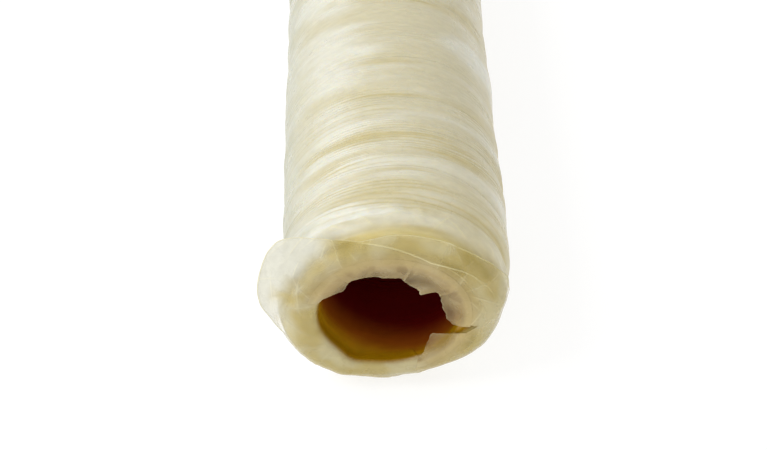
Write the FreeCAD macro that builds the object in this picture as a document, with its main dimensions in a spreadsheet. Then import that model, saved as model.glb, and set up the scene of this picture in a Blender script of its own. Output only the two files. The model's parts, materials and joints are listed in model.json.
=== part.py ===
"""A shirred casing stick: one long, thin collagen film tube pressed into nested cone-shaped pleat packs.

The stick lies along Y on a table, which is the plane Z = 0. Its mouth faces -Y and its tail faces +Y. The origin
is on the table, under the crest of a pleat pack near the middle. All sizes are in millimetres.

Each pleat pack is a ring of tightly folded film. Its two faces are parallel cones, so the packs nest in each
other like cups, and the bore edge of every pack leads towards the mouth. The first pack has a rounded nose, a
film cuff is folded back over that nose, and the torn film edge hangs in front of the bore as five flaps.
"""

import FreeCAD, Part
import os
import Sketcher

DIMENSIONS = [
    ("bore_radius", 9.0, "bore of the packs, which slides over a stuffing horn"),
    ("crest_radius", 15.0, "outside of a pleat pack at the crest of its lobe"),
    ("groove_radius", 14.2, "outside of a pleat pack where it meets the next one"),
    ("crest_swing", 0.22, "how much the crest radius varies from pack to pack"),
    ("swing_turn", 137.5, "phase step of that variation from one pack to the next, in degrees"),
    ("pack_count", 24, "pleat packs in the stick, the nose pack included"),
    ("pack_at_origin", 11, "number of the pack whose crest stands on the origin"),
    ("web_count", 4, "joints between packs that open when film is drawn off"),
    ("pack_pitch", 7.2, "from the front of one pack to the front of the next"),
    ("pack_gap", 0.5, "free space along the axis between two packs"),
    ("cone_rise", 4.5, "how far a pack's bore edge leads its outer edge"),
    ("axis_height", 14.65, "bore axis above the table, which flattens each crest where it rests"),
    ("lip_width", 1.3, "flat ring round the bore at the front of the nose pack"),
    ("nose_round", 3.9, "radius of the rounded front of the nose pack, outside that ring"),
    ("web_inner_radius", 9.6, "inner fold of the film web between two packs"),
    ("web_outer_radius", 13.8, "outer fold of the film web between two packs"),
    ("web_thickness", 0.12, "thickness of a film web along the axis, a stand-in for film of 0.03"),
    ("cuff_clearance", 0.15, "free space between the nose and the film cuff over it"),
    ("cuff_thickness", 0.25, "thickness of the film cuff"),
    ("cuff_lip_inset", 0.5, "how much wider than the bore the cuff is open"),
    ("cuff_spread", 60, "how far the cuff's dome reaches round the nose, in degrees from its front"),
    ("flange_radius", 15.9, "outer radius of the cuff's flange, about its own centre"),
    ("flange_left", 1.2, "flange centre to the left of the bore axis, seen from the front"),
    ("flange_up", 1.3, "flange centre above the bore axis"),
    ("flap_root_radius", 8.7, "radius of the two ends of every flap's hinge line"),
    ("flap_thickness", 0.2, "thickness of a torn film flap"),
    ("flap_setforward", 0.3, "middle plane of the flaps in front of the bore rim"),
    ("tail_film_radius", 12.6, "inside of the short open film tube at the tail"),
    ("tail_film_thickness", 0.2, "thickness of that tube"),
    ("tail_film_length", 2.2, "how far it stands out behind the outer edge of the last pack"),
]

# Each flap: where its hinge line starts and ends, in degrees anticlockwise from +X as seen from the front; how far
# it reaches towards the bore axis; and the corners of its torn edge, as shares of its width and of its reach.
FLAPS = {
    "flap_upper_left": (124, 162, 1.4, [(0.06, 0.35), (0.16, 0.62), (0.36, 1.0), (0.72, 0.55)]),
    "flap_top": (76, 122, 1.25, [(0.08, 0.75), (0.2, 1.0), (0.4, 0.72), (0.68, 0.42), (0.88, 0.6)]),
    "flap_pointed": (30, 74, 2.3, [(0.04, 0.2), (0.26, 1.0), (0.58, 0.72), (0.9, 0.3)]),
    "flap_right": (-10, 28, 1.5, [(0.04, 0.2), (0.3, 0.75), (0.62, 1.0), (0.9, 0.5)]),
    "flap_lower_right": (-64, -20, 2.1, [(0.03, 0.12), (0.3, 0.75), (0.66, 1.0), (0.88, 0.5)]),
}

PACK_LENGTH = "(dims.pack_pitch - dims.pack_gap)"
CONE_SLOPE = "(dims.cone_rise / (dims.groove_radius - dims.bore_radius))"


def fill_sheet(doc):
    """The spreadsheet of driving dimensions: name, value and meaning in each row."""
    rows = list(DIMENSIONS)
    for name, (start, end, reach, _) in FLAPS.items():
        rows.append((f"{name}_start", start, "where the flap's hinge line starts, in degrees"))
        rows.append((f"{name}_end", end, "where it ends"))
        rows.append((f"{name}_reach", reach, "how far the flap reaches towards the bore axis"))
    sheet = doc.addObject("Spreadsheet::Sheet", "dims")
    for row, (alias, value, meaning) in enumerate(rows, start=1):
        sheet.set(f"A{row}", alias)
        sheet.set(f"B{row}", str(value))
        sheet.set(f"C{row}", meaning)
        sheet.setAlias(f"B{row}", alias)
    doc.recompute()
    return sheet


def number_of(owner, expression):
    """What an expression of the sheet comes to, as a plain number."""
    value = owner.evalExpression(expression)
    return float(getattr(value, "Value", value))


def new_body(doc, label, y):
    """An empty body whose own Y axis is the bore axis, with its own origin at y along the stick."""
    body = doc.addObject("PartDesign::Body", label)
    body.Label = label
    body.setExpression("Placement.Base.y", f"({y}) * 1mm")
    body.setExpression("Placement.Base.z", "dims.axis_height * 1mm")
    return body


def pack_front(index):
    """Where the bore edge of a pack is along the stick, with the nose pack as number 0."""
    crest = f"(dims.cone_rise + {PACK_LENGTH} / 2)"
    return f"({index} - dims.pack_at_origin) * dims.pack_pitch - {crest}"


def new_sketch(body, name, role, setback="0"):
    """An empty sketch on one of the body's own origin planes, moved back from it by setback."""
    plane = next(f for f in body.Origin.OriginFeatures if f.Role == role)
    sketch = body.newObject("Sketcher::SketchObject", name)
    sketch.AttachmentSupport = [(plane, "")]
    sketch.MapMode = "FlatFace"
    sketch.setExpression("AttachmentOffset.Base.z", f"-({setback}) * 1mm")
    sketch.Visibility = False
    return sketch


def bind(sketch, kind, geometry, point, expression):
    """Fixes one coordinate of a sketch point, measured from the sketch's origin, to an expression."""
    number = number_of(sketch, expression)
    if abs(number) < 1e-9:
        axis = -1 if kind == "DistanceY" else -2
        sketch.addConstraint(Sketcher.Constraint("PointOnObject", geometry, point, axis))
        return
    index = sketch.addConstraint(Sketcher.Constraint(kind, -1, 1, geometry, point, number))
    sketch.setExpression(f"Constraints[{index}]", expression)


def bind_point(sketch, geometry, point, place):
    """Fixes both coordinates of a sketch point."""
    bind(sketch, "DistanceX", geometry, point, place[0])
    bind(sketch, "DistanceY", geometry, point, place[1])


def outline(sketch, corners, arcs=None):
    """Draws a closed outline through corners, each a pair of expressions.

    arcs gives, for the edge that leaves a corner of that number, a point that its arc passes through.
    """
    arcs = arcs or {}
    at = [FreeCAD.Vector(number_of(sketch, x), number_of(sketch, y), 0) for x, y in corners]
    edges = []
    for number, first in enumerate(at):
        last = at[(number + 1) % len(at)]
        if number not in arcs:
            edges.append((sketch.addGeometry(Part.LineSegment(first, last), False), 1, 2))
            continue
        x, y = arcs[number]
        through = FreeCAD.Vector(number_of(sketch, x), number_of(sketch, y), 0)
        anticlockwise = (through - first).cross(last - through).z > 0
        ends = (first, last) if anticlockwise else (last, first)
        arc = sketch.addGeometry(Part.Arc(ends[0], through, ends[1]), False)
        edges.append((arc, 1, 2) if anticlockwise else (arc, 2, 1))
        middle = sketch.addGeometry(Part.Point(through), True)
        sketch.addConstraint(Sketcher.Constraint("PointOnObject", middle, 1, arc))
        bind_point(sketch, middle, 1, arcs[number])
    for number, (edge, start, end) in enumerate(edges):
        following, following_start, _ = edges[(number + 1) % len(edges)]
        sketch.addConstraint(Sketcher.Constraint("Coincident", edge, end, following, following_start))
        bind_point(sketch, edge, start, corners[number])


def circle(sketch, centre, radius):
    """Draws a circle about a centre given as a pair of expressions."""
    middle = FreeCAD.Vector(number_of(sketch, centre[0]), number_of(sketch, centre[1]), 0)
    size = number_of(sketch, radius)
    ring = sketch.addGeometry(Part.Circle(middle, FreeCAD.Vector(0, 0, 1), size), False)
    bind_point(sketch, ring, 3, centre)
    index = sketch.addConstraint(Sketcher.Constraint("Radius", ring, size))
    sketch.setExpression(f"Constraints[{index}]", radius)


def turned_ring(body, corners, arcs=None):
    """A ring round the bore axis with the given section, whose points are (radius, distance along the axis)."""
    sketch = new_sketch(body, f"{body.Label}_section", "XY_Plane")
    outline(sketch, corners, arcs)
    ring = body.newObject("PartDesign::Revolution", f"{body.Label}_ring")
    ring.Profile = sketch
    ring.ReferenceAxis = (sketch, ["V_Axis"])
    ring.Angle = 360
    return ring


def flatten_underside(body):
    """Cuts the crest flat where it rests on the table."""
    sketch = new_sketch(body, f"{body.Label}_below_table", "XZ_Plane")
    side = "2 * dims.crest_radius"
    corners = [
        (f"-{side}", f"-({side})"),
        (side, f"-({side})"),
        (side, "-dims.axis_height"),
        (f"-{side}", "-dims.axis_height"),
    ]
    outline(sketch, corners)
    cut = body.newObject("PartDesign::Pocket", f"{body.Label}_rest")
    cut.Profile = sketch
    cut.Type = "ThroughAll"
    cut.Midplane = True


def pleat_pack(doc, index):
    """A nested ring of folded film: two parallel cone faces and a bulging outer lobe."""
    body = new_body(doc, f"pleat_pack_{index:02d}", pack_front(index))
    crest = f"dims.crest_radius + dims.crest_swing * sin({index} * dims.swing_turn * 1deg)"
    corners = [
        ("dims.bore_radius", "0"),
        ("dims.groove_radius", "dims.cone_rise"),
        ("dims.groove_radius", f"dims.cone_rise + {PACK_LENGTH}"),
        ("dims.bore_radius", PACK_LENGTH),
    ]
    turned_ring(body, corners, {1: (crest, f"dims.cone_rise + {PACK_LENGTH} / 2")})
    flatten_underside(body)
    return body


def on_nose(radius, angle):
    """A section point that far from the centre of the nose's rounding, at an angle from straight forward."""
    centre = "dims.bore_radius + dims.lip_width"
    return f"{centre} + {radius} * sin({angle})", f"dims.nose_round - {radius} * cos({angle})"


def nose_pack(doc):
    """The first pack: a rounded nose, then a lobe, and the same cone behind as every other pack."""
    body = new_body(doc, "nose_pack", pack_front(0))
    back = f"(dims.cone_rise + {PACK_LENGTH})"
    corners = [
        ("dims.bore_radius", "0"),
        on_nose("dims.nose_round", "0deg"),
        on_nose("dims.nose_round", "90deg"),
        ("dims.groove_radius", back),
        ("dims.bore_radius", PACK_LENGTH),
    ]
    arcs = {1: on_nose("dims.nose_round", "45deg"), 2: ("dims.crest_radius", f"(dims.nose_round + {back}) / 2")}
    turned_ring(body, corners, arcs)
    flatten_underside(body)
    return body


def mouth_cuff(doc):
    """The leading end of the film, folded back over the nose, with a flange that stands out up and to the left."""
    body = new_body(doc, "mouth_cuff", pack_front(0))
    inside = "(dims.nose_round + dims.cuff_clearance)"
    outside = f"({inside} + dims.cuff_thickness)"
    spread = "dims.cuff_spread * 1deg"
    lip = "dims.bore_radius + dims.cuff_lip_inset"
    corners = [
        (lip, on_nose(inside, "0deg")[1]),
        (lip, on_nose(outside, "0deg")[1]),
        on_nose(outside, "0deg"),
        on_nose(outside, spread),
        on_nose(inside, spread),
        on_nose(inside, "0deg"),
    ]
    arcs = {2: on_nose(outside, f"{spread} / 2"), 4: on_nose(inside, f"{spread} / 2")}
    turned_ring(body, corners, arcs)

    seam_radius, seam_back = on_nose(f"({inside} + dims.cuff_thickness / 2)", spread)
    flange = new_sketch(body, "mouth_cuff_flange_outline", "XZ_Plane", f"{seam_back} + dims.cuff_thickness / 2")
    circle(flange, ("-dims.flange_left", "dims.flange_up"), "dims.flange_radius")
    circle(flange, ("0", "0"), seam_radius)
    plate = body.newObject("PartDesign::Pad", "mouth_cuff_flange")
    plate.Profile = flange
    plate.setExpression("Length", "dims.cuff_thickness * 1mm")
    return body


def lip_flap(doc, name):
    """A torn flap of film in front of the bore rim, hinged on a straight line between two points of the rim."""
    start, end, reach = (f"dims.{name}_{part}" for part in ("start", "end", "reach"))
    middle = f"(({start} + {end}) / 2 * 1deg)"
    half_width = f"(dims.flap_root_radius * sin(({end} - {start}) / 2 * 1deg))"
    root = f"(dims.flap_root_radius * cos(({end} - {start}) / 2 * 1deg))"

    body = new_body(doc, name, f"{pack_front(0)} - dims.flap_setforward")
    body.Placement.Rotation = FreeCAD.Rotation(FreeCAD.Vector(0, 1, 0), -90 - number_of(doc.dims, middle))
    body.setExpression("Placement.Base.x", f"{root} * cos({middle}) * 1mm")
    body.setExpression("Placement.Base.z", f"(dims.axis_height + {root} * sin({middle})) * 1mm")

    sketch = new_sketch(body, f"{name}_outline", "XZ_Plane")
    torn_edge = [
        (f"(2 * {across} - 1) * {half_width}", f"{inward} * {reach}") for across, inward in FLAPS[name][3]
    ]
    outline(sketch, [(f"-{half_width}", "0"), *torn_edge, (half_width, "0")])
    film = body.newObject("PartDesign::Pad", f"{name}_film")
    film.Profile = sketch
    film.Midplane = True
    film.setExpression("Length", "dims.flap_thickness * 1mm")
    return body


def film_web(doc, number):
    """The single wall of film that joins a pack to the one before it, lying between their cone faces."""
    body = new_body(doc, f"film_web_{number:02d}", pack_front(number - 1))
    middle = f"({PACK_LENGTH} + dims.pack_gap / 2)"

    def on_cone(radius, side):
        back = f"{middle} + ({radius} - dims.bore_radius) * {CONE_SLOPE} {side} dims.web_thickness / 2"
        return radius, back

    inner, outer = "dims.web_inner_radius", "dims.web_outer_radius"
    turned_ring(body, [on_cone(inner, "-"), on_cone(outer, "-"), on_cone(outer, "+"), on_cone(inner, "+")])
    return body


def tail_film(doc, last_pack):
    """The trailing end of the film: a short tube, open like the bore, that stands out of the last pack."""
    body = new_body(doc, "tail_film", pack_front(last_pack))
    inner = "dims.tail_film_radius"
    outer = "(dims.tail_film_radius + dims.tail_film_thickness)"
    end = f"dims.cone_rise + {PACK_LENGTH} + dims.tail_film_length"
    root = [f"{PACK_LENGTH} + ({radius} - dims.bore_radius) * {CONE_SLOPE}" for radius in (inner, outer)]
    turned_ring(body, [(inner, root[0]), (outer, root[1]), (outer, end), (inner, end)])
    return body


def build(doc):
    """Every sub-part of the stick, from the mouth to the tail."""
    sheet = fill_sheet(doc)
    packs = range(1, int(sheet.pack_count))
    parts = [nose_pack(doc), mouth_cuff(doc)]
    parts += [lip_flap(doc, name) for name in FLAPS]
    parts += [film_web(doc, number + 1) for number in range(int(sheet.web_count))]
    parts += [pleat_pack(doc, index) for index in packs]
    parts.append(tail_film(doc, packs[-1]))
    doc.recompute()
    return parts


def rests_on_table(shape):
    """Whether the shape has a flat face in the plane of the table."""
    flats = [face for face in shape.Faces if isinstance(face.Surface, Part.Plane)]
    return any(abs(face.CenterOfMass.z) < 1e-4 for face in flats)


def check(doc, parts):
    """Stops with a plain message if any object failed or any sub-part isn't one valid solid."""
    for item in doc.Objects:
        if "Invalid" in item.State or "Error" in item.State:
            raise RuntimeError(f"{item.Name} failed: {item.State}")
    for part in parts:
        shape = part.Shape
        if shape.isNull() or not shape.isValid() or len(shape.Solids) != 1:
            raise RuntimeError(f"{part.Label} isn't one valid solid")
        if part.Label.startswith(("nose_pack", "pleat_pack")) and not rests_on_table(shape):
            raise RuntimeError(f"{part.Label} has no flat face on the table")


def main():
    doc = FreeCAD.newDocument("shirred_casing_stick")
    parts = build(doc)
    check(doc, parts)
    os.makedirs("parts", exist_ok=True)
    for part in parts:
        part.Shape.exportStep(f"parts/{part.Label}.step")
    print(f"{len(parts)} sub-parts written")


main()
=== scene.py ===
"""The looks of a shirred casing stick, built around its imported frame.

The stick is one long, thin collagen film tube, pressed into fine pleats. Each pleat pack is one closed
mesh, and its folds are real geometry. Lengths in this file are millimetres. A place on the stick is given by
phi, the angle round the bore axis (anticlockwise from +X as seen from the mouth), and t, the distance behind
the bore rim. On the nose it is given by phi and by u or s, the distance along its section from the bore's
rounded edge.
"""
import json
import math
import bpy
import numpy as np
from mathutils import Matrix, Vector


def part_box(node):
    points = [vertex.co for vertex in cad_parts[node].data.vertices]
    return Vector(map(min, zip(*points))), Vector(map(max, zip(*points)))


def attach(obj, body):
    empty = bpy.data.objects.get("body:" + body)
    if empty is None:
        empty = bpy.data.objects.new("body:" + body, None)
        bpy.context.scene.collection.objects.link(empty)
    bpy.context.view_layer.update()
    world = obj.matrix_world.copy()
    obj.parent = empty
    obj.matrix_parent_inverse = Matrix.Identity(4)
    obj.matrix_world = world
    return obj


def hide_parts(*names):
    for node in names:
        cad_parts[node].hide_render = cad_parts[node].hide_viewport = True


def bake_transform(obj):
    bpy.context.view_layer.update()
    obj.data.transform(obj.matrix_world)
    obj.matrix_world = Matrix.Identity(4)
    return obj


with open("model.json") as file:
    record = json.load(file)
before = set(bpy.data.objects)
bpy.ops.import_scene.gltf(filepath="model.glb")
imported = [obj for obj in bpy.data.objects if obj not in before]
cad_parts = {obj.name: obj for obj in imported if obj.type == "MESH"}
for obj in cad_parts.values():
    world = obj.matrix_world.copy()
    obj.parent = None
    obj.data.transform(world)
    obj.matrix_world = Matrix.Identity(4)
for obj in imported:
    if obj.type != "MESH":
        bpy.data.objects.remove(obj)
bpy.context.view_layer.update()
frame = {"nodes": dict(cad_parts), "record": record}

MM = 0.001
HORN = next(mount for mount in frame["record"]["mounts"] if mount["name"] == "horn_bore")
BORE = HORN["dims"]["r_mm"]
AXIS_Z = HORN["pos_m"][2] / MM
RIM_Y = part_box("nose_pack")[0].y / MM
PACKS = sorted(name for name in frame["nodes"] if name.startswith("pleat_pack_"))
WEBS = sorted(name for name in frame["nodes"] if name.startswith("film_web_"))
FLAPS = sorted(name for name in frame["nodes"] if name.startswith("flap_"))
PITCH = (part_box(PACKS[1])[0].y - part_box(PACKS[0])[0].y) / MM
CREST = (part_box("nose_pack")[1].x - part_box("nose_pack")[0].x) / MM / 2
BODY_OF = {node: body for body, nodes in frame["record"]["behaviour"]["bodies"].items() for node in nodes}

# How far a cone face between two packs runs back from the bore to the outside, and its rows of points.
CONE_RISE = 4.5
CONE_ROWS = 12
# Half the room for the film inside a seam that opens.
SEAM = 0.03
# How far the mouth leans to the left.
LEAN = 1.2
# The nose's section: the rounded edge of the bore, the lip's whole width and the rounding of the dome.
LIP_ROUND = 0.9
LIP_WIDTH = 1.3
NOSE_ROUND = 3.9
BEND = LIP_ROUND * math.pi / 2
DOME_START = BEND + LIP_WIDTH - LIP_ROUND
DOME_END = DOME_START + NOSE_ROUND * math.pi / 2
# Packs before this one are close to the mouth and get finer meshes.
NEAR_PACKS = 9
# Thickness of the single film in the cuff, the flaps, the webs and the tail.
CUFF_FILM, FLAP_FILM, WEB_FILM, TAIL_FILM = 0.05, 0.04, 0.03, 0.06


# ---------------------------------------------------------------- random fields

def spline_weights(f):
    """Weights of the four neighbours of a cubic B-spline."""
    before, after = 3 * f ** 3 - 6 * f ** 2 + 4, -3 * f ** 3 + 3 * f ** 2 + 3 * f + 1
    return (1 - f) ** 3 / 6, before / 6, after / 6, f ** 3 / 6


def field(phi, t, around, step, seed):
    """A smooth random field from about -1 to 1: around cells round the tube, one cell per step along it."""
    rows = int(260 / step) + 8
    table = np.random.default_rng(seed).uniform(-1.6, 1.6, (rows, around))
    u = phi / (2 * np.pi) * around
    v = (t + 30) / step
    iu, iv = np.floor(u).astype(int), np.floor(v).astype(int)
    total = 0
    for a, wa in enumerate(spline_weights(u - iu)):
        for b, wb in enumerate(spline_weights(v - iv)):
            total = total + wa * wb * table[np.clip(iv + b, 0, rows - 1), (iu + a) % around]
    return total


def smooth(x, low, high):
    """0 below low, 1 above high, and a smooth step between them."""
    x = np.clip((x - low) / (high - low), 0, 1)
    return x * x * (3 - 2 * x)


def bump(x, middle, width):
    """A bell of height 1."""
    return np.exp(-((x - middle) / width) ** 2)


def angle_gap(phi, degrees):
    """Signed angle from a given direction, from -pi to pi."""
    return np.angle(np.exp(1j * (phi - math.radians(degrees))))


def facing(phi, degrees, width):
    """A bell of height 1 round a direction; its width is in radians."""
    return bump(angle_gap(phi, degrees), 0, width)


def colour(red, green, blue):
    """An sRGB colour from 0 to 255, as linear values."""
    c = np.array([red, green, blue]) / 255
    return np.where(c <= 0.04045, c / 12.92, ((c + 0.055) / 1.055) ** 2.4)


def mix(a, b, share):
    """Blends two colours by a field of shares."""
    share = np.asarray(share)[..., None]
    return a * (1 - share) + b * share


CREAM = colour(211, 203, 171)
PALE = colour(232, 231, 218)
# Painted shade for the left flank.
LEFT_FLANK_SHADE = colour(184, 184, 165)
OCHRE = colour(201, 186, 131)
DEEP_OCHRE = colour(182, 162, 80)
FACE = colour(209, 192, 126)
VEIL = colour(225, 218, 182)
CREASE = colour(236, 227, 176)
TORN_AND_SHADE = colour(190, 166, 112)
SLIT_SHADE = colour(138, 112, 38)
FLAP_SHADE = colour(160, 134, 84)
FLAP_PATCH = colour(168, 134, 36)
# Painted light and shade of the bore: olive at its lit edge, amber light through the wall, maroon shade.
OLIVE = colour(186, 138, 4)
AMBER = colour(150, 76, 2)
MAROON = colour(106, 5, 2)


# ---------------------------------------------------------------- pleats

def folds(phi, x, count, seed):
    """Round-backed folds across a pack, with a sharp valley at both of its ends.

    x runs from 0 to 1 across the pack, count is the number of folds. Each fold wanders and swells on its own.
    """
    along = x * 40 + 60 * (seed % 7)
    wander = 1.8 * field(phi, along, 4, 9, seed) + 0.6 * field(phi, along, 11, 4, seed + 1)
    w = x * count + wander * np.minimum(1, 4 * np.minimum(x, 1 - x)) * min(1, count / 8)
    number = np.floor(w)
    f = (w - number) ** 0.82
    swell = 0.72 + 0.5 * field(phi, number * 3.0, 11, 1.0, seed + 2)
    return np.sin(np.pi * np.clip(f, 0, 1)) ** 0.75 * np.clip(swell, 0.15, 1.3)


def crispness(t):
    """The pleats are crisp near the mouth and from 76 mm on; between the two they are soft and lumpy."""
    return 1 - smooth(t, 8, 42) + smooth(t, 56, 76)


def lumps(phi, t):
    """Swells of several pleats at once, broader where the pleats are soft."""
    crisp = crispness(t)
    swell = field(phi, t, 7, 1.5, 44) + 0.7 * field(phi, t, 16, 0.9, 45)
    broad = field(phi, t, 8, 2.3, 46) + 0.5 * field(phi, t, 18, 1.6, 47)
    return swell * crisp + broad * (1 - crisp)


def relief(phi, t, start, end, seed):
    """Height of the pleats above the lumps of the tube, and how deep in a valley each point is."""
    x = np.clip((t - start) / (end - start), 0, 1)
    rng = np.random.default_rng(seed)
    near = crispness(t)
    fine = folds(phi, x, int(rng.integers(15, 18)), seed)
    coarse = folds(phi, x, int(rng.integers(6, 9)), seed + 10)
    share = smooth(field(phi, t, 7, 2.6, 20) + 0.7 * near - 0.45, -0.35, 0.35)
    pleat = fine * share + coarse * (1 - share)
    crisp = (0.22 + 0.78 * near) * (0.25 + 0.75 * smooth(field(phi, t, 15, 1.3, 41), -0.5, 0.5))
    # valley, by which film_colour paints ochre shade, also counts the low places between the lumps.
    valley = np.clip(1 - pleat, 0, 1) ** 1.6 * (0.08 + 0.7 * crisp) + 0.5 * smooth(-lumps(phi, t), 0.0, 1.0)
    return (0.03 + 0.12 * crisp) * pleat, np.clip(valley, 0, 1)


def film_colour(phi, t, valley):
    """Cream film: paler in random patches, with a painted highlight, and ochre painted shade in its folds."""
    # Paler in random patches, plus a painted highlight round 122 degrees, where the key light falls.
    pale_patch_and_highlight = field(phi, t, 9, 2.6, 60) + 0.5 * field(phi, t, 20, 0.9, 61) + 0.9 * facing(phi, 122, 0.3)
    tone = mix(CREAM, PALE, smooth(pale_patch_and_highlight, -0.2, 1.1) * 0.75)
    tone = mix(tone, OCHRE, smooth(valley, 0.1, 0.9) * 0.8)
    # Painted shade: more ochre on the right side near the mouth, away from the key light.
    tone = mix(tone, OCHRE, 0.6 * facing(phi, 45, 0.6) * bump(t, 6, 8))
    # Painted shade on the left flank: darker and greyer towards its edge.
    tone = mix(tone, LEFT_FLANK_SHADE, 0.85 * facing(phi, 170, 0.52))
    # Deep ochre streaks in the deepest gaps between the folds: the film's deeper yellow where it lies in more
    # layers, and painted shade.
    streak = smooth(field(phi, t, 14, 0.5, 70), 0.25, 0.8) * smooth(field(phi, t, 6, 4.0, 71), -0.4, 0.4)
    return mix(tone, DEEP_OCHRE, smooth(valley, 0.15, 0.8) * streak * 0.85)


def bore_light_and_shade(phi, t, ring):
    """Painted light and shade of the bore: olive at its lit edge, amber where light shines through, maroon in
    the shade farther in.
    """
    # The painted light reaches deeper on the lower left, and again near the far end of the stick.
    side = np.clip(np.cos(phi - math.radians(205)), 0, 1)
    depth = np.minimum(t - 2.4 * side, (len(PACKS) + 1) * PITCH - t) - 0.7 * field(phi, t, 7, 4.0, 91)
    tone = mix(np.broadcast_to(OLIVE, phi.shape + (3,)), AMBER, smooth(depth, 0.0, 2.6))
    tone = mix(tone, MAROON, smooth(depth, 1.6, 6.2))
    # Painted shade in the faint grooves between the rings.
    return tone * (1 - 0.12 * ring[..., None])


# ---------------------------------------------------------------- meshes

def painted_piece(name, mesh, tint, cover):
    """A smooth, linked piece from a mesh, with its tint and, on film, its cover at each point."""
    rgba = np.concatenate([tint.reshape(-1, 3), np.ones((len(mesh.vertices), 1))], axis=1)
    tint_layer = mesh.attributes.new("tint", "FLOAT_COLOR", "POINT")
    tint_layer.data.foreach_set("color", rgba.astype(np.float32).ravel())
    if cover is not None:
        cover_layer = mesh.attributes.new("cover", "FLOAT", "POINT")
        cover_layer.data.foreach_set("value", cover.astype(np.float32).ravel())
    mesh.shade_smooth()
    piece = bpy.data.objects.new(name, mesh)
    bpy.context.scene.collection.objects.link(piece)
    return piece


def ring_mesh(name, points, tint, cover=None, bore=None):
    """A closed mesh from rows of points that go round phi; the last row is joined to the first.

    bore marks the points of the bore wall, whose faces take the second material.
    """
    rows, columns, _ = points.shape
    row = np.arange(rows)[:, None]
    column = np.arange(columns)[None, :]
    next_row, next_column = (row + 1) % rows, (column + 1) % columns
    corners = [(row, column), (row, next_column), (next_row, next_column), (next_row, column)]
    quads = np.stack([down * columns + across for down, across in corners], axis=-1).reshape(-1, 4)
    mesh = bpy.data.meshes.new(name)
    mesh.vertices.add(rows * columns)
    mesh.vertices.foreach_set("co", (points * MM).astype(np.float32).ravel())
    mesh.loops.add(quads.size)
    mesh.loops.foreach_set("vertex_index", quads.astype(np.int32).ravel())
    mesh.polygons.add(len(quads))
    mesh.polygons.foreach_set("loop_start", np.arange(0, quads.size, 4, dtype=np.int32))
    if bore is not None:
        inside = bore.ravel()[quads].all(axis=1)
        mesh.polygons.foreach_set("material_index", inside.astype(np.int32))
    mesh.update(calc_edges=True)
    return painted_piece(name, mesh, tint, cover)


def place(phi, r, t):
    """Points in the frame from cylindrical ones. The mouth leans left, and film flattens on the table."""
    z = AXIS_Z + r * np.sin(phi)
    z = np.where(z < 0.3, 0.3 * np.exp((z - 0.3) / 0.3), z)
    return np.stack([r * np.cos(phi) - LEAN * (1 - smooth(t, -1, 11)), RIM_Y + t, z], axis=-1)


def around(count):
    """Evenly spaced angles round the tube."""
    return np.linspace(0, 2 * np.pi, count, endpoint=False)


def line(start, end, count):
    """Points from start towards end, the last one left out."""
    return np.linspace(start, end, count, endpoint=False)


def eased_line(start, end, count):
    """The same, with the points crowded at both ends so that the corners there stay sharp."""
    return start + (end - start) * smooth(line(0, 1, count), 0, 1)


def seam_wave(phi, index):
    """How far the seam in front of a pack wanders along the stick at each angle."""
    rng = np.random.default_rng(500 + index)
    first, second, third = rng.uniform(0, 2 * np.pi, 3)
    return 0.45 * np.sin(phi + first) + 0.22 * np.sin(2 * phi + second) + 0.1 * np.sin(5 * phi + third)


def gap(index):
    """Half the room for the film inside the seam in front of a pack: only the seams that open have any."""
    return SEAM if index <= len(WEBS) else 0


def crest(phi, t):
    """Outer radius of the stick before its pleats are added; it is fullest at the right, behind the mouth."""
    full = (0.5 * bump(t, 21, 10) + 0.4 * smooth(t, 30, 45)) * np.clip(np.cos(phi - 0.1), 0, 1)
    waves = 0.14 * field(phi, t, 4, 13.0, 72) + 0.12 * field(phi, t, 9, 3.6, 40)
    return CREST - 0.36 + full + waves + 0.17 * lumps(phi, t)


def groove_depth(phi, index):
    """How deep the seam in front of a pack dips; the first two seams are deepest at the right."""
    side = np.clip(np.cos(phi - 0.1), 0, 1) ** 2
    deep = {1: 0.45, 2: 0.35, 3: 0.1}.get(index, 0)
    if deep == 0:
        return 0.03 + 0.06 * side
    return np.clip(0.12 + 0.14 * field(phi, phi * 0 + index * 7.0, 5, 7.0, 77), 0.02, 0.2) + deep * side


def edge_radius(phi, index):
    """Radius of the seam in front of a pack."""
    return crest(phi, index * PITCH + CONE_RISE + seam_wave(phi, index)) - groove_depth(phi, index)


def outer_surface(phi, x, index, start, end):
    """Radius, place and colour on the outside of a pack; x is 0 at its front seam and 1 at its back one."""
    t = start + (end - start) * x
    height, valley = relief(phi, t, start, end, 1000 + 100 * index)
    front, back = groove_depth(phi, index), groove_depth(phi, index + 1)
    dip = front * np.clip(1 - 2 * x, 0, 1) ** 4 + back * np.clip(2 * x - 1, 0, 1) ** 4
    return crest(phi, t) - dip + height, t, film_colour(phi, t, valley * (1 - 0.5 * np.abs(2 * x - 1) ** 20))


def cone_face(phi, share, index, shift, seed):
    """A cone between two packs: share runs from 0 at the bore to 1 at the outside."""
    crease = field(phi, share * 6, 90, 9.0, seed + 3) + 0.5 * field(phi, share * 12, 160, 4.0, seed + 4)
    wave = seam_wave(phi, index) * share
    t = index * PITCH + CONE_RISE * share + wave + 4 * shift * share * (1 - share)
    return t + 0.3 * abs(shift) * crease * np.sin(np.pi * share), crease


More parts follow.
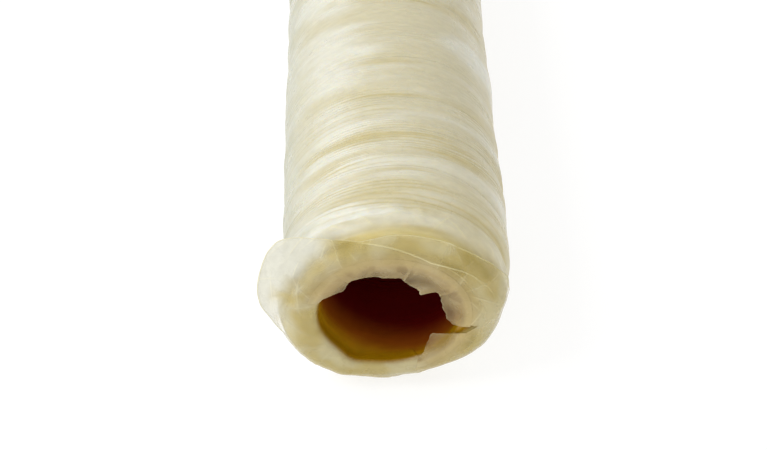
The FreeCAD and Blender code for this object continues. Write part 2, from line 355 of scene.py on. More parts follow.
def cone_part(phi, outward, index, shift):
    """The rows of a cone face, from the bore to the outside or back."""
    p, share = spread(phi, line(0, 1, CONE_ROWS) if outward else line(1, 0, CONE_ROWS))
    share = share ** 2
    t, crease = cone_face(p, share, index, shift, 1900 + 100 * index)
    inner = bore_wall(phi, index * PITCH + 0 * phi)[0]
    r = inner + (edge_radius(phi, index) - inner) * share
    # Painted shade: next to the bore the cone takes the bore's painted light and shade, elsewhere extra ochre
    # shade between the packs.
    deep = bore_light_and_shade(p, t, 0 * p)
    tone = mix(film_colour(p, share * 9 + index * PITCH, smooth(-crease, 0.1, 1.0) * 0.8), OCHRE, 0.3)
    return p, r, t, mix(tone, deep, smooth(-share, -0.4, -0.15)), share < 0.3


def bore_wall(phi, t):
    """The inner ends of the folds: faint rings that wander."""
    w = t / 0.62 + 1.3 * field(phi, t, 6, 5.0, 37) + 0.4 * field(phi, t, 15, 2.0, 38)
    ring = np.abs(np.sin(np.pi * w)) ** 0.8 * smooth(field(phi, t, 5, 3.0, 36), -0.5, 0.6)
    return BORE + 0.1 - 0.08 * ring + 0.08 * field(phi, t, 8, 3.0, 39), 1 - ring


def joined(name, parts):
    """One closed ring mesh from parts that follow one another round its section.

    A part is its angles, radii, places, tints and whether it belongs to the bore wall.
    """
    phi, r, t, tint = (np.concatenate([part[k] for part in parts]) for k in range(4))
    bore = np.concatenate([np.broadcast_to(part[4], part[0].shape) for part in parts])
    return ring_mesh(name, place(phi, r, t)[::-1], tint[::-1], bore=bore[::-1])


def spread(phi, values):
    """A grid with a row for each value and a column for each angle: its angles and its values."""
    values = values[:, None] + 0 * phi
    return phi + 0 * values, values


def pack_piece(index, columns, density):
    """One pleat pack, as a closed ring: outside, back cone, bore and front cone in turn."""
    phi = around(columns)[None, :]
    start = index * PITCH + CONE_RISE + seam_wave(phi, index)
    end = (index + 1) * PITCH + CONE_RISE + seam_wave(phi, index + 1)
    p, x = spread(phi, line(0, 1, int(112 * density)))
    outside = (p, *outer_surface(p, x, index, start, end), False)

    p, t = spread(phi, eased_line((index + 1) * PITCH, index * PITCH, int(44 * density)))
    r, ring = bore_wall(p, t)
    # The bore wall carries the bore's painted light and shade.
    wall = (p, r, t, bore_light_and_shade(p, t, ring), True)
    back = cone_part(phi, False, index + 1, -gap(index + 1))
    front = cone_part(phi, True, index, gap(index))
    return joined(f"pleats_{index:02d}", [outside, back, wall, front])


def nose_section(u):
    """The nose from deep in the bore, round the lip and dome, to its shoulder.

    Gives the radius, the place and the outward normal.
    u is the distance along that line from the bore's rounded edge, so it is negative in the bore.
    """
    a = np.clip(u / BEND, 0, 1) * math.pi / 2
    r = BORE + LIP_ROUND * (1 - np.cos(a))
    t = LIP_ROUND * (1 - np.sin(a)) - np.minimum(u, 0)
    nr, nt = -np.cos(a), -np.sin(a)
    r = r + np.clip(u - BEND, 0, LIP_WIDTH - LIP_ROUND)
    b = np.clip((u - DOME_START) / (DOME_END - DOME_START), 0, 1) * math.pi / 2
    r = r + NOSE_ROUND * np.sin(b)
    t = t + NOSE_ROUND * (1 - np.cos(b)) + np.maximum(u - DOME_END, 0)
    nr = np.where(b > 0, np.sin(b), nr)
    nt = np.where(b > 0, -np.cos(b), nt)
    return r, t, nr, nt


def lip_open(phi, t):
    """How far the mouth opens wider than the bore: it droops a little at the bottom and the left."""
    droop = 0.45 * facing(phi, 262, 0.7) + 0.6 * facing(phi, 242, 0.19)
    return droop * (1 - smooth(t, 0.8, 5.0))


def nose_point(phi, u):
    """The nose section with its mouth opened: radius, place and outward normal."""
    r, t, nr, nt = nose_section(u)
    return r + lip_open(phi, np.maximum(t, u * 0.8)), t, nr, nt


def nose_swell(phi, u):
    """Soft bulges and dents of the nose, which the cuff follows."""
    soft = 0.2 * field(phi, u * 2, 8, 5.0, 301) + 0.09 * field(phi, u * 3, 15, 4.0, 302)
    cheeks = 0.75 * facing(phi, 222, 0.75) + 0.75 * facing(phi, 326, 0.36)
    cheeks = cheeks + 0.55 * facing(phi, 1, 0.17)
    return soft * smooth(u, 0.2, 2.5) + (cheeks - 0.5 * facing(phi, 277, 0.5)) * smooth(u, 1.5, 6.0)


def top_share(phi):
    """1 over the top of the nose, 0 elsewhere."""
    return smooth(-np.abs(angle_gap(phi, 85)), -math.radians(88), -math.radians(55))


def first_fold(phi, u):
    """The valley just behind the cuff's free edge and the full, bright fold that follows it."""
    wander = 0.3 * field(phi, 0 * phi, 9, 5.0, 305)
    return top_share(phi) * (0.3 * bump(u, 8.0 + wander, 0.9) - 0.3 * bump(u, 6.1 + wander, 0.7))


def glow(phi, u):
    """A painted highlight where the fold behind the cuff catches the light."""
    patch = smooth(field(phi, u * 2, 30, 1.6, 306) + 0.4, -0.5, 0.6)
    return bump(u, 7.8, 1.1) * facing(phi, 116, 0.5) * patch


def fold_wrinkles(phi, u):
    """Short creases of the fold behind the cuff: their height and the lines of their tops."""
    crumple, lines = creases(phi, u, 190, 320, longest=2.6)
    here = top_share(phi) * bump(u, 8.0, 1.5)
    return 0.15 * crumple * here, lines * here


def slit_depth(phi):
    """How far the pointed slit reaches out from the bore at each angle: it slants up to its tip."""
    turn = np.degrees(angle_gap(phi, -10.5))
    return np.where(turn < 0, 2.4 * np.clip(1 + turn / 15, 0, 1) ** 0.9, 2.4 * np.clip(1 - turn / 1.2, 0, 1))


def slit_share(phi, r):
    """1 inside the slit, with soft borders."""
    return smooth(slit_depth(phi) - (r - BORE), -0.25, 0.25) * smooth(slit_depth(phi), 0, 0.3)


def nose_bore(phi):
    """The bore wall of the nose, which opens out to the lip."""
    p, t = spread(phi, eased_line(PITCH, LIP_ROUND + 0.05, 44))
    r, ring = bore_wall(p, t)
    fade = smooth(t, LIP_ROUND, 2.0)
    r = BORE + (r - BORE) * fade + lip_open(p, t)
    # The nose's bore carries the bore's painted light and shade.
    return p, r, t, bore_light_and_shade(p, t, ring * fade), True


def nose_front(phi):
    """The rounded lip, the face and the dome, with the slit at the right."""
    p, u = spread(phi, line(0, DOME_END, 104))
    r, t, nr, nt = nose_point(p, u)
    wrinkle = field(p, u * 2, 92, 5.0, 311) * 0.7 + field(p, u * 3, 46, 3.0, 312) * 0.4
    wrinkle = wrinkle * smooth(field(p, u * 2, 9, 4.0, 313), -0.5, 0.6)
    ridges, lines = fold_wrinkles(p, u)
    slit = slit_share(p, r)
    height = nose_swell(p, u) + first_fold(p, u) + 0.05 * wrinkle * smooth(u, 0.4, 2.0)
    height = height + ridges - 0.3 * slit * smooth(u, 0.4, 1.6)

    tint = mix(film_colour(p, u, smooth(-wrinkle, 0.0, 1.2) * 0.55), PALE, 0.9 * glow(p, u))
    shade = smooth(field(p, u, 24, 1.1, 316) + 0.6 * bump(u, 6.6, 1.0), 0.2, 1.0) * top_share(p)
    tint = mix(mix(tint, DEEP_OCHRE, 0.7 * shade * bump(u, 6.4, 1.5)), CREASE, 0.6 * lines)
    patch = face_patch(p, u)
    cloud = mix(np.broadcast_to(FACE, p.shape + (3,)), DEEP_OCHRE, smooth(-patch, -0.1, 0.8) * 0.7)
    cloud = mix(cloud, VEIL, smooth(patch, 0.2, 1.0) * 0.4)
    tint = mix(tint, cloud, smooth(-u - 0.5 * top_share(p), -7.6, -5.6))
    # Painted shade in the slit and on the bore's rounded edge: the slit's olive, then the bore's painted
    # colours, darker still.
    side = facing(p, 2, 0.3)
    rounding = smooth(-u, -0.9 - 0.9 * side, -0.1 - 0.7 * side)
    dark = np.clip(slit * smooth(-r, -11.2, -9.8) + rounding, 0, 1)
    tint = mix(mix(tint, SLIT_SHADE, slit), bore_light_and_shade(p, 0 * u, 0 * u) * 0.72, dark)
    return p, r + nr * height, t + nt * height, tint, False


def nose_lobe(phi):
    """The pleated lobe behind the dome, from the fold behind the cuff to the first seam."""
    start, end = nose_section(np.array(DOME_END))[1], PITCH + CONE_RISE + seam_wave(phi, 1)
    p, x = spread(phi, line(0, 1, 90))
    t = start + (end - start) * x
    u = DOME_END + t - start
    fold, valley = relief(p, t, start, end, 1040)
    blend = smooth(x, 0, 0.2)
    notch = 0.5 * bump(t, 5.6 + 0.5 * np.sin(p + 1.0), 0.8) * np.clip(0.35 + 0.65 * np.cos(p - 0.3), 0, 1)
    swell = nose_swell(p, DOME_END + 0 * x) * (1 - smooth(x, 0, 0.35)) + first_fold(p, u)
    start_r = BORE + LIP_WIDTH + NOSE_ROUND
    base = start_r + (crest(p, t) - start_r) * blend
    groove = groove_depth(p, 1) * np.clip((t - 8.4) / (end - 8.4), 0, 1) ** 4
    ripple = field(p, t * 2, 92, 3.0, 315) * bump(t, 4.6, 1.2) * top_share(p)
    ridges, lines = fold_wrinkles(p, u)
    r = base + swell - notch - groove + fold * blend + 0.07 * ripple + ridges

    valley = np.clip(valley * blend + 0.8 * notch + 0.3 * np.clip(-ripple, 0, 1), 0, 1)
    tint = mix(film_colour(p, t, valley), PALE, 0.9 * glow(p, u))
    return p, r, t, mix(tint, CREASE, 0.6 * lines), False


def nose_piece(columns):
    """The nose pack: its back cone, bore, rounded front and lobe, in turn."""
    phi = around(columns)[None, :]
    return joined("nose", [cone_part(phi, False, 1, -SEAM), nose_bore(phi), nose_front(phi), nose_lobe(phi)])


# ---------------------------------------------------------------- the film cuff over the nose

# Radius at which the creases of the film are laid out round the tube.
CREASE_R = 12.5
# The cuff's free edge: angle in degrees, radius and distance behind the rim.
FREE_EDGE = [
    (-10, 14.2, 4.4), (13, 14.3, 3.4), (24, 14.1, 2.5), (37, 13.65, 1.85), (58, 13.4, 1.55),
    (76, 13.3, 1.4), (90, 13.2, 1.25), (106, 12.95, 1.0), (118, 13.9, 1.6), (127, 14.9, 2.4),
    (136, 16.3, 3.2), (143, 17.3, 3.6), (151, 17.5, 3.6), (161, 17.2, 2.9), (172, 16.9, 2.6),
    (181, 16.5, 2.6), (190, 15.6, 2.8), (206, 14.8, 3.0), (225, 14.4, 3.6), (250, 14.4, 3.9),
    (290, 14.4, 4.0), (325, 14.6, 4.0),
]
# The fold that leaves the free edge at the top and runs down to the right.
SECOND_FOLD = [
    (10, 13.1), (13, 13.0), (24, 12.6), (38, 12.05), (50, 11.4),
    (62, 10.95), (76, 11.4), (91, 12.1), (107, 12.9),
]


def along_ring(phi, points, column):
    """A smooth closed curve through values listed at given angles."""
    angles = np.radians([point[0] for point in points])
    values = np.array([point[column] for point in points])
    turns = np.concatenate([angles - 2 * np.pi, angles, angles + 2 * np.pi])
    levels = np.tile(values, 3)
    fine = np.linspace(0, 2 * np.pi, 720, endpoint=False)
    curve = np.interp(fine, turns, levels)
    kernel = np.hanning(17)
    padded = np.concatenate([curve[-8:], curve, curve[:8]])
    curve = np.convolve(padded, kernel / kernel.sum(), mode="valid")
    return np.interp(np.mod(phi, 2 * np.pi), np.append(fine, 2 * np.pi), np.append(curve, curve[0]))


def dome_distance(r):
    """Distance along the nose's section at a radius on its dome."""
    return DOME_START + NOSE_ROUND * np.arcsin(np.clip((r - BORE - LIP_WIDTH) / NOSE_ROUND, 0, 1))


def creases(phi, s, count, seed, longest=6.0):
    """Sharp straight ridges and dents of crumpled film, at random places.

    Gives their height and the lines of their tops. Around the tube they are laid out at the radius CREASE_R.
    """
    rng = np.random.default_rng(seed)
    total = np.zeros(np.broadcast(phi, s).shape)
    lines = np.zeros_like(total)
    for _ in range(count):
        centre_phi, centre_s = rng.uniform(0, 360), rng.uniform(0, 10)
        turn = rng.normal(0.2, 0.9)
        reach, width = rng.uniform(1.2, longest), rng.uniform(0.35, 1.5)
        height = rng.uniform(0.3, 1.0) * rng.choice([-1, 1, 1])
        across = angle_gap(phi, centre_phi) * CREASE_R
        down = s - centre_s
        run = across * math.cos(turn) + down * math.sin(turn)
        off = -across * math.sin(turn) + down * math.cos(turn)
        tent = np.clip(1 - np.abs(off) / width, 0, 1)
        along = smooth(-np.abs(run), -reach, -0.3 * reach)
        total += height * width * tent * along
        if height > 0.45:
            lines = np.maximum(lines, height * along * np.clip(1 - np.abs(off) / 0.11, 0, 1))
    return total, lines


def film_faces(phi, r, t, nr, nt, thickness):
    """The front and the back of a thin sheet, from a grid of places and outward directions."""
    front = place(phi, r + nr * thickness / 2, t + nt * thickness / 2)
    return front, place(phi, r - nr * thickness / 2, t - nt * thickness / 2)


def film_ring(name, front, back, tint, cover):
    """A thin closed sheet that goes all the way round."""
    pairs = [(front, back), (tint, tint), (cover, cover)]
    points, tints, covers = (np.concatenate([outer, inner[::-1]])[::-1] for outer, inner in pairs)
    return ring_mesh(name, points, tints, cover=covers)


def film_strip(name, front, back, tint, cover):
    """A thin closed sheet that doesn't go all the way round."""
    rows, columns, _ = front.shape
    count = rows * columns
    index = np.arange(count).reshape(rows, columns)
    a, b, c, d = index[:-1, :-1], index[:-1, 1:], index[1:, 1:], index[1:, :-1]
    loop = np.concatenate([index[0, :-1], index[:-1, -1], index[-1, :0:-1], index[:0:-1, 0]])
    after = np.roll(loop, -1)
    quads = np.concatenate([
        np.stack([a, b, c, d], -1).reshape(-1, 4),
        np.stack([a, d, c, b], -1).reshape(-1, 4) + count,
        np.stack([loop, loop + count, after + count, after], -1),
    ])
    mesh = bpy.data.meshes.new(name)
    mesh.from_pydata((np.concatenate([front, back]).reshape(-1, 3) * MM).tolist(), [], quads.tolist())
    mesh.update()
    return painted_piece(name, mesh, np.concatenate([tint, tint]), np.concatenate([cover, cover]))


# Torn edge of each flap, in the plane of the mouth: angle in degrees and distance from the bore axis.
TORN_EDGE = {
    "flap_upper_left": [(163, 9.5), (151, 8.3), (141, 7.35), (134, 7.55), (127, 8.15)],
    "flap_top": [(129, 8.15), (118, 7.8), (109, 7.5), (99, 7.05), (88, 6.7), (80, 6.75), (73, 6.4)],
    "flap_pointed": [
        (75, 6.4), (66, 5.8), (57, 5.55), (47, 5.4), (37.6, 4.9),
        (36.2, 6.3), (35.2, 7.1), (33, 7.35), (29, 7.2),
    ],
    "flap_right": [(31, 7.3), (22, 6.95), (8, 6.7), (0, 6.95), (-7, 7.25), (-11, 7.7), (-14.5, 8.35)],
    "flap_lower_right": [
        (-20, 9.7), (-27, 8.1), (-34, 6.8), (-38, 6.65), (-44, 7.0), (-50, 7.4), (-58, 8.2), (-67, 9.2),
    ],
}
# Where the flaps leave the cuff, and how far the untorn cuff is tucked into the bore.
FLAP_ROOT = BEND + 0.6
CUFF_TUCK = 1.6
# How many degrees the low and the high side of a flap spread out towards its root.
FLARE = {"flap_right": (-3.0, 1.0), "flap_lower_right": (3.0, 2.0)}
# How much of what lies behind it shows through each flap.
THINNESS = {
    "flap_upper_left": 0.2,
    "flap_top": 0.04,
    "flap_pointed": 0.12,
    "flap_right": 0.3,
    "flap_lower_right": 0.34,
}


def torn_reach(phi):
    """1 where the cuff's inner edge is torn back from the bore, and 0 where it rolls smoothly into it."""
    return smooth(-np.abs(angle_gap(phi, 49)), -math.radians(125), -math.radians(106))


def cuff_crumple(phi, s):
    """Sharp creases of the cuff, shared with the torn flaps so that their folds run on."""
    return creases(phi, s, 190, 410)


def cuff_height(phi, s, crumple, off=0):
    """How far the cuff stands off the nose; off is how far a point lies beyond where the cuff leaves it."""
    loose = smooth(s, 1.2, 4.5) * 0.6 + smooth(off, 0.0, 1.5) * 0.6
    height = 0.12 + 0.17 * crumple * (0.3 + loose) + 0.3 * loose * (field(phi, s, 10, 3.0, 411) + 0.25)
    return nose_swell(phi, s) + np.maximum(height, 0.09)


def face_patch(phi, s):
    """Cloudy patches of the mouth's face: milky above 0 and ochre below."""
    clouds = 0.9 * field(phi, s, 16, 2.2, 421) + 0.7 * field(phi, s, 40, 1.0, 424)
    return clouds + 0.7 * (facing(phi, -6, 0.4) + facing(phi, 205, 0.5)) * smooth(s, 2.2, 4.5)


def cuff_tint(phi, s, crumple, free):
    """Yellowish where the cuff lies on the nose, and milky white where it stands free."""
    patch = face_patch(phi, s)
    tint = mix(np.broadcast_to(FACE, phi.shape + (3,)), VEIL, smooth(patch + 0.5 * crumple, -0.1, 0.9) * 0.6)
    tint = mix(tint, DEEP_OCHRE, smooth(-patch, 0.1, 0.8) * 0.6)
    return mix(tint, PALE, 0.9 * free)


def mouth_film(phi, s, crumple, free):
    """Tint and cover of the film on the nose, shared by the cuff and its flaps so that they match."""
    # In the torn zone the film is nearly opaque; its darker torn beige is partly the torn film's colour,
    # partly painted shade.
    torn = torn_reach(phi) * smooth(-s, -BEND - 2.4, -BEND - 0.2)
    cover = 0.4 + 0.16 * field(phi, s, 18, 1.6, 422) + 0.34 * torn
    return mix(cuff_tint(phi, s, crumple, free), TORN_AND_SHADE, 0.7 * torn), cover


def cuff_run(phi):
    """Where the cuff begins, how far it lies on the nose and stands free, and at which angle it leaves."""
    torn = torn_reach(phi)
    depth = slit_depth(phi)
    slit = np.where(depth > 0, BEND - LIP_ROUND + depth, -CUFF_TUCK)
    inner = np.maximum(-CUFF_TUCK * (1 - torn) + torn * (FLAP_ROOT - 0.08), slit)
    edge_r = along_ring(phi, FREE_EDGE, 1) + 0.1 * field(phi, 0 * phi, 46, 5.0, 403)
    edge_t = along_ring(phi, FREE_EDGE, 2) + 0.1 * field(phi, 0 * phi, 37, 5.0, 404)
    hug = NOSE_ROUND + 0.16 + nose_swell(phi, DOME_END - 1.5)
    dr, dt = edge_r - BORE - LIP_WIDTH, NOSE_ROUND - edge_t
    far = np.maximum(np.hypot(dr, dt), hug)
    leave = np.arctan2(dr, dt) - np.arccos(hug / far)
    free = np.sqrt(far ** 2 - hug ** 2)
    return inner, DOME_START + NOSE_ROUND * leave - inner, free, leave


def cuff_piece(columns, rows):
    """The leading end of the film: folded over the nose, crumpled, with a flange at the left."""
    phi = around(columns)[None, :]
    inner, on_nose, free, leave = cuff_run(phi)
    total = on_nose + free
    v = np.linspace(0, 1, rows)[:, None]
    s = inner + v * total
    p = phi + 0 * v
    r, t, nr, nt = nose_point(p, np.minimum(s, inner + on_nose))
    off = np.maximum(s - inner - on_nose, 0)
    r = r + off * np.cos(leave)
    t = t + off * np.sin(leave)
    crumple, lines = cuff_crumple(p, s)
    height = cuff_height(p, s, crumple, off)
    side = s - dome_distance(along_ring(p, SECOND_FOLD, 1))
    upper = smooth(-np.abs(angle_gap(p, 58)), -math.radians(53), -math.radians(40))
    ridge = np.clip(1 - np.abs(side) / 0.2, 0, 1)
    lip = np.clip(1 - (total - (s - inner)) / 0.16, 0, 1)
    height = height + upper * (0.16 * ridge + 0.14 * smooth(side, -0.1, 0.4)) + 0.08 * lip

    quiet = 0.35 + 0.65 * smooth(np.sin(p + 0.2), -0.5, 0.2)
    fading = 0.3 + 0.7 * smooth(p, math.radians(22), math.radians(52))
    fold_lines = 0.8 * upper * ridge ** 2 * fading + 0.7 * lip
    fold_lines = np.clip(fold_lines + 0.34 * lines * smooth(s, 1.0, 2.0) * quiet, 0, 1)
    milky = smooth(s - inner - on_nose + 1.1 * field(p, s, 12, 1.8, 423) + 1.2 * crumple, -2.2, 2.6)
    tint, cover = mouth_film(p, s, crumple, milky * smooth(-np.abs(angle_gap(p, 168)), -0.95, -0.6))
    tint = mix(tint, CREASE, fold_lines)
    # Where the cuff is tucked into the bore it takes the bore's painted light and shade.
    tint = mix(bore_light_and_shade(p, np.maximum(-s, 0), 0 * s), tint, smooth(s, 0.1, 0.9))
    cover = (cover + 0.45 * fold_lines + 0.3 * smooth(off, 0.2, 2.0)) * smooth(s, -1.5, 0.3)
    faces = film_faces(p, r + nr * height, t + nt * height, nr, nt, CUFF_FILM)
    return film_ring("mouth_film", *faces, tint, np.clip(cover, 0, 1))


def flap_piece(flap, order):
    """A torn flap: it runs out of the cuff, crosses the rim and ends in a jagged edge."""
    points = sorted(TORN_EDGE[flap])
    degrees = np.array([point[0] for point in points])
    radii = np.array([point[1] for point in points])
    w = np.linspace(0, 1, 150)[None, :]
    v = np.linspace(0, 1, 60)[:, None]
    low, high = FLARE.get(flap, (1.0, 1.0))
    angle = degrees[0] - low * (1 - v) + (degrees[-1] + high * (1 - v) - degrees[0] + low * (1 - v)) * w
    p = np.radians(angle)
    torn = p[-1:]
    seed = 600 + 20 * order
    jag = 0.12 * field(torn, 0 * torn, 190, 5.0, seed) + 0.1 * field(torn, 0 * torn, 70, 5.0, seed + 1)
    tip = np.interp(angle[-1:], degrees, radii) + jag
    root = BORE + LIP_ROUND + FLAP_ROOT - BEND
    reach = root + (tip - root) * v
    s = BEND + reach - BORE - LIP_ROUND
    r, t, nr, nt = nose_point(p, np.maximum(s, BEND + 0.05))
    inward = np.maximum(BEND + 0.05 - s, 0)
    crumple = cuff_crumple(p, s)[0]
    own, lines = creases(p, reach - 6, 70, seed + 3, longest=3.0)
    height = 0.02 + 0.05 * (order % 2) * smooth(v, 0, 0.3) + cuff_height(p, s, crumple)
    height = height + 0.1 * own * smooth(inward, 0, 1) - 0.1 * inward ** 1.4
    height = height - 0.14 * field(p, reach, 26, 2.0, seed + 4) * smooth(inward, 0.2, 1.8)
    edge = smooth(v, 0.93, 1.0)
    over = smooth(inward, 0.3, 2.4)
    tint, cover = mouth_film(p, s, crumple, 0 * s)
    # Over the hole the flap turns to the darker torn beige: the torn film's colour, and partly painted shade.
    tint = mix(tint, TORN_AND_SHADE, smooth(inward, -0.2, 0.8))
    pale = 0.22 * edge + 0.25 * field(p, reach, 40, 1.0, seed + 5) + 0.22 * lines
    tint = mix(tint, VEIL, np.clip(pale, 0, 1) * smooth(v, 0.1, 0.5))
    if flap == "flap_lower_right":
        tint = mix(tint, FLAP_PATCH, 0.85 * bump(reach, 8.6, 0.7) * facing(p, -34, 0.27))
    shade = smooth(-crumple - own + 0.4 * field(p, reach, 22, 1.4, seed + 7), 0.2, 0.9)
    tint = mix(tint, FLAP_SHADE, shade * 0.6 * smooth(v, 0.1, 0.5))
    thin = 0.3 * over + THINNESS[flap] * smooth(inward, 0, 0.8)
    cover = cover + (0.84 - cover) * smooth(inward, -0.4, 0.4) - thin
    uneven = 0.2 * field(p, reach, 24, 1.3, seed + 6) + 0.1 * edge + 0.15 * lines
    cover = cover + uneven * smooth(v, 0.1, 0.5)
    faces = film_faces(p, r - inward + nr * height, t + nt * height, nr, nt, FLAP_FILM)
    piece = film_strip(f"torn_{flap}", *faces, tint, np.clip(cover, 0, 1))
    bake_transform(piece)
    return piece


# ---------------------------------------------------------------- webs and tail

# Radius that the cone of a web would reach at the outside.
WEB_CREST = CREST - 0.8


def web_piece(number, columns):
    """The single film between two packs: folded away in their seam, drawn out to a cone when they part."""
    p, share = spread(around(columns)[None, :], np.linspace(0.3, 0.86, 60))
    ripple = 0.5 * SEAM * np.sin(share * 60 + 2.0 * field(p, share * 20, 6, 5.0, 800 + number))
    rise = WEB_CREST - BORE
    r = BORE + 0.1 + rise * share + 0.8 * ripple
    t = number * PITCH + CONE_RISE * share + seam_wave(p, number) * share + 0.3 * ripple
    # Ochre mixed in as painted shade in the seam between the packs.
    tint = mix(film_colour(p, share * 10, smooth(-ripple, 0, SEAM) * 0.5), OCHRE, 0.45)
    slope = math.hypot(CONE_RISE, rise)
    faces = film_faces(p, r, t, CONE_RISE / slope, -rise / slope, WEB_FILM)
    piece = film_ring(f"web_{number:02d}", *faces, tint, np.full_like(r, 0.8))
    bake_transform(piece)
    return piece


def tail_piece(columns):
    """The trailing end of the film: a short crumpled tube that stands out of the last pack."""
    low, high = (corner.y / MM - RIM_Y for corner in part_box("tail_film"))
    phi = around(columns)[None, :]
    p, v = spread(phi, np.linspace(0, 1, 60))
    start, end = low - 0.6, high + 0.5 * field(phi, 0 * phi, 24, 5.0, 901)
    t = start + (end - start) * v
    crumple, lines = creases(p, v * 8, 110, 902)
    r = 12.7 + (0.12 * crumple + 0.4 * field(p, t, 9, 3.0, 903)) * smooth(v, 0.15, 0.9) + 0.3 * v
    tint = film_colour(p, t, smooth(-crumple, 0.1, 1.0) * 0.6)
    tint = mix(tint, PALE, np.maximum(smooth(v, 0.93, 1.0), 0.7 * lines))
    cover = np.clip(0.62 + 0.2 * field(p, t, 18, 1.6, 905), 0, 1)
    return film_ring("tail_end", *film_faces(p, r, t, 1, 0, TAIL_FILM), tint, cover)


# ---------------------------------------------------------------- materials

def new_material(name):
    """A material with one Principled shader."""
    material = bpy.data.materials.new(name)
    material.use_nodes = True
    tree = material.node_tree
    tree.nodes.clear()
    output = tree.nodes.new("ShaderNodeOutputMaterial")
    shader = tree.nodes.new("ShaderNodeBsdfPrincipled")
    tree.links.new(shader.outputs["BSDF"], output.inputs["Surface"])
    return material, tree, shader


def attribute(tree, name, socket):
    """A value painted on the mesh, read at each point."""
    node = tree.nodes.new("ShaderNodeAttribute")
    node.attribute_name = name
    return node.outputs[socket]


def noise(tree, scale, detail, stretch=(1, 1, 1)):
    """A noise pattern fixed to the object, per metre times stretch."""
    coordinates = tree.nodes.new("ShaderNodeTexCoord")
    mapping = tree.nodes.new("ShaderNodeMapping")
    mapping.inputs["Scale"].default_value = stretch
    tree.links.new(coordinates.outputs["Object"], mapping.inputs["Vector"])
    node = tree.nodes.new("ShaderNodeTexNoise")
    node.inputs["Scale"].default_value = scale
    node.inputs["Detail"].default_value = detail
    tree.links.new(mapping.outputs["Vector"], node.inputs["Vector"])
    return node.outputs["Fac"]


def ramp(tree, value, low, high, at=(0.3, 0.7)):
    """Maps a value to a range of numbers."""
    node = tree.nodes.new("ShaderNodeMapRange")
    node.inputs["From Min"].default_value, node.inputs["From Max"].default_value = at
    node.inputs["To Min"].default_value, node.inputs["To Max"].default_value = low, high
    tree.links.new(value, node.inputs["Value"])
    return node.outputs["Result"]


def mottled(tree, shader, tint, scale, low, high):
    """The painted tint, with fine mottling over it."""
    node = tree.nodes.new("ShaderNodeMix")
    node.data_type = "RGBA"
    node.blend_type = "MULTIPLY"
    node.inputs["Factor"].default_value = 1.0
    value = ramp(tree, noise(tree, scale, 5, (1, 2.5, 1)), low, high)
    tree.links.new(tint, node.inputs["A"])
    tree.links.new(value, node.inputs["B"])
    tree.links.new(node.outputs["Result"], shader.inputs["Base Color"])


def bumped(tree, shader, scale, strength, distance, stretch=(1, 1, 1)):
    """Fine relief, too small for the mesh."""
    node = tree.nodes.new("ShaderNodeBump")
    node.inputs["Strength"].default_value = strength
    node.inputs["Distance"].default_value = distance
    tree.links.new(noise(tree, scale, 4, stretch), node.inputs["Height"])
    tree.links.new(node.outputs["Normal"], shader.inputs["Normal"])


def pleat_material():
    """Waxy, milky collagen film in tight folds: light goes in and comes out warm."""
    material, tree, shader = new_material("collagen_pleats")
    mottled(tree, shader, attribute(tree, "tint", "Color"), 700, 0.94, 1.04)
    tree.links.new(ramp(tree, noise(tree, 260, 3), 0.22, 0.5), shader.inputs["Roughness"])
    shader.inputs["Subsurface Weight"].default_value = 0.4
    shader.inputs["Subsurface Radius"].default_value = (1.0, 0.8, 0.5)
    shader.inputs["Subsurface Scale"].default_value = 0.12 * MM
    shader.inputs["IOR"].default_value = 1.42
    shader.inputs["Specular IOR Level"].default_value = 0.4
    shader.inputs["Coat Weight"].default_value = 0.1
    shader.inputs["Coat Roughness"].default_value = 0.3
    bumped(tree, shader, 1800, 0.12, 0.06 * MM, (1, 3, 1))
    return material


def bore_material():
    """The same film seen from inside the stick: warm under the skin and hardly glossy; its darkness is
    painted shade in its tint.
    """
    material, tree, shader = new_material("collagen_bore")
    mottled(tree, shader, attribute(tree, "tint", "Color"), 600, 0.93, 1.05)
    tree.links.new(ramp(tree, noise(tree, 500, 3), 0.6, 0.75), shader.inputs["Roughness"])
    shader.inputs["Specular IOR Level"].default_value = 0.12
    shader.inputs["Subsurface Weight"].default_value = 0.3
    shader.inputs["Subsurface Radius"].default_value = (2.2, 0.9, 0.3)
    shader.inputs["Subsurface Scale"].default_value = 0.4 * MM
    bumped(tree, shader, 1500, 0.12, 0.06 * MM, (1, 3, 1))
    return material


def film_material():
    """Single collagen film: glassy, wrinkled, and see-through where nothing lies behind it."""
    material, tree, shader = new_material("collagen_film")
    mottled(tree, shader, attribute(tree, "tint", "Color"), 900, 0.95, 1.03)
    tree.links.new(ramp(tree, noise(tree, 650, 3), 0.2, 0.36), shader.inputs["Roughness"])
    tree.links.new(attribute(tree, "cover", "Fac"), shader.inputs["Alpha"])
    shader.inputs["IOR"].default_value = 1.45
    bumped(tree, shader, 2200, 0.1, 0.04 * MM)
    return material


def floor_material():
    """A plain pale floor that stays nearly white, with a soft shadow under the stick."""
    material, tree, shader = new_material("pale_floor")
    tree.links.new(ramp(tree, noise(tree, 3, 2), 0.86, 0.88), shader.inputs["Roughness"])
    shader.inputs["Base Color"].default_value = (0.3, 0.3, 0.3, 1)
    shader.inputs["Emission Color"].default_value = (1, 1, 1, 1)
    shader.inputs["Emission Strength"].default_value = 0.76
    return material


# ---------------------------------------------------------------- the whole stick

def finish_piece(piece, materials, body, slot, *nodes):
    """Gives a piece its materials, the nodes it replaces and, unless it bends, its body; the slot is not
    used.
    """
    for material in materials:
        piece.data.materials.append(material)
    if body is not None:
        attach(piece, body)
    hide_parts(*nodes)


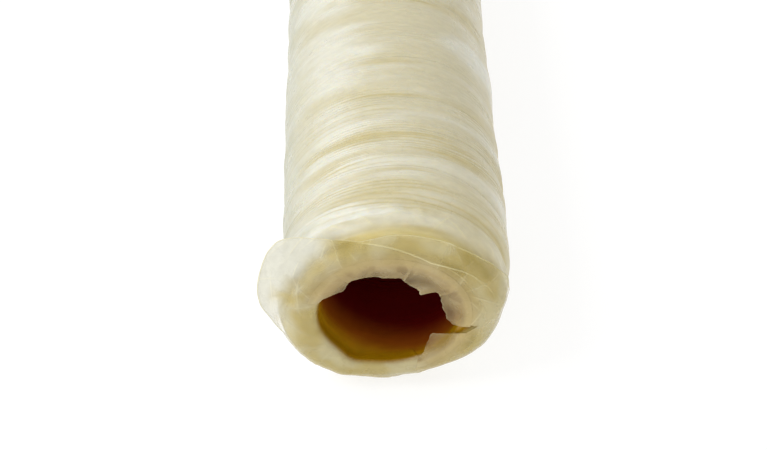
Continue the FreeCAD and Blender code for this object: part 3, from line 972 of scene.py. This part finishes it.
def build_stick():
    """Every piece of the stick. The column and row counts keep each piece under 200,000 triangles."""
    pleats, film = [pleat_material(), bore_material()], [film_material()]
    finish_piece(nose_piece(columns=390), pleats, "mouth", "pleats", "nose_pack")
    finish_piece(cuff_piece(columns=640, rows=76), film, "mouth", "film", "mouth_cuff")
    for order, flap in enumerate(FLAPS):
        finish_piece(flap_piece(flap, order), film, None, "film", flap)
    for index, node in enumerate(PACKS, start=1):
        columns, density = (300, 1.0) if index < NEAR_PACKS else (200, 0.72)
        finish_piece(pack_piece(index, columns, density), pleats, BODY_OF[node], "pleats", node)
    for number, node in enumerate(WEBS, start=1):
        finish_piece(web_piece(number, columns=160), film, None, "film", node)
    finish_piece(tail_piece(columns=300), film, "stick", "film", "tail_film")


def build_floor():
    """A square floor at the height on which the stick rests."""
    mesh = bpy.data.meshes.new("floor")
    side = 3.0
    corners = [(-side, -side, 0), (side, -side, 0), (side, side, 0), (-side, side, 0)]
    mesh.from_pydata(corners, [], [(0, 1, 2, 3)])
    floor = bpy.data.objects.new("floor", mesh)
    floor.data.materials.append(floor_material())
    bpy.context.scene.collection.objects.link(floor)


def area_light(name, place_at, aim, size, power, tint=(1, 1, 1)):
    """A square light at a place, turned to its aim; metres and watts."""
    data = bpy.data.lights.new(name, "AREA")
    data.size = size
    data.energy = power
    data.color = tint
    light = bpy.data.objects.new(name, data)
    light.location = place_at
    light.rotation_euler = (Vector(aim) - Vector(place_at)).to_track_quat("-Z", "Y").to_euler()
    bpy.context.scene.collection.objects.link(light)


def build_studio():
    """Soft white surroundings, a large key light from the upper left and a weak one in front."""
    world = bpy.data.worlds.new("studio")
    world.use_nodes = True
    background = world.node_tree.nodes["Background"]
    background.inputs["Color"].default_value = (1, 1, 1, 1)
    background.inputs["Strength"].default_value = 0.68
    bpy.context.scene.world = world
    mouth = (0, RIM_Y * MM, AXIS_Z * MM)
    area_light("key", (-0.4, -0.12, 0.44), mouth, 0.32, 1.6, (0.95, 0.97, 1))
    area_light("front", (-0.12, -0.5, 0.32), mouth, 0.4, 0.3)
    bpy.context.scene.view_settings.view_transform = "Standard"


def build_camera():
    """Looks down at the mouth, 45 degrees below the level and a little from the left of the bore axis."""
    pitch, yaw = math.radians(45.13), math.radians(1.7)
    lens, sensor, distance = 70.0, 36.0, 0.1877
    turn = Matrix.Rotation(-yaw, 4, "Z") @ Matrix.Rotation(math.pi / 2 - pitch, 4, "X")
    right, up, back = (turn.to_3x3().col[k] for k in range(3))
    across, down = math.radians(0.57), math.radians(3.5)
    sight = (-back + right * math.tan(across) - up * math.tan(down)).normalized()
    mouth = Vector((0, RIM_Y * MM, AXIS_Z * MM))
    data = bpy.data.cameras.new("camera")
    data.lens, data.sensor_width = lens, sensor
    data.clip_start, data.clip_end = 0.01, 20
    camera = bpy.data.objects.new("camera", data)
    camera.matrix_world = Matrix.Translation(mouth - sight * distance) @ turn
    bpy.context.scene.collection.objects.link(camera)
    bpy.context.scene.camera = camera


build_stick()
build_floor()
build_studio()
build_camera()
